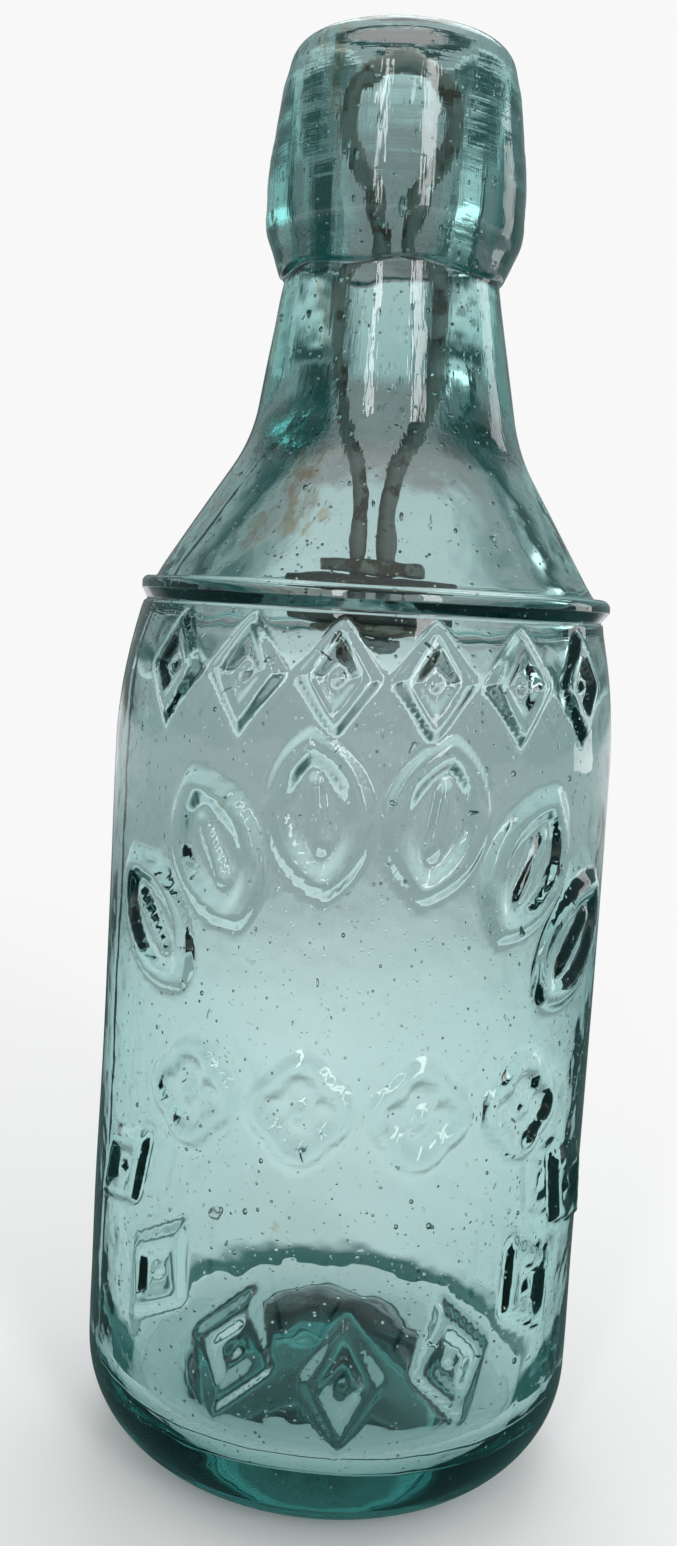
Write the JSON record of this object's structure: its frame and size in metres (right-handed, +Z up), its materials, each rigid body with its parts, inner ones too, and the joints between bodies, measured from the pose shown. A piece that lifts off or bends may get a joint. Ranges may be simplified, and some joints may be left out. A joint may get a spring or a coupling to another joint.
{
  "type": "soda bottle with inside stopper",
  "caption": "Thick-walled aqua soda bottle with a blob lip, ringed shoulder and kicked-up base, and a sliding wire-loop stopper with a rubber gasket inside the neck.",
  "frame": {"origin": "centre of the base, on the plane that the bottle rests on", "axes": "+Z up along the bottle's axis, towards the mouth; the wire loop of the stopper lies in the XZ plane"},
  "size_m": [0.0614, 0.0614, 0.171],
  "materials": {
    "body_glass": "thick pale aqua bottle glass with seeds and drag marks",
    "lip_glass": "fire-polished aqua glass, slightly streaked",
    "tinned_wire": "dulled tinned spring wire",
    "plate_metal": "dull tinned sheet with brown spots",
    "lower_metal": "dull tinned sheet with brown spots",
    "solder": "dull grey solder",
    "old_rubber": "hardened dark rubber"
  },
  "bodies": {
    "bottle": {"blown_body": "body_glass", "applied_lip": "lip_glass"},
    "stopper": {"stopper_wire_loop": "tinned_wire", "upper_plate": "plate_metal", "rubber_gasket": "old_rubber", "lower_plate": "lower_metal", "solder_button": "solder"}
  },
  "joints": [
    {"name": "stopper_slide", "type": "slide", "parent": "bottle", "child": "stopper", "axis": [0, 0, 1], "range_m": [0, 0.017]}
  ]
}
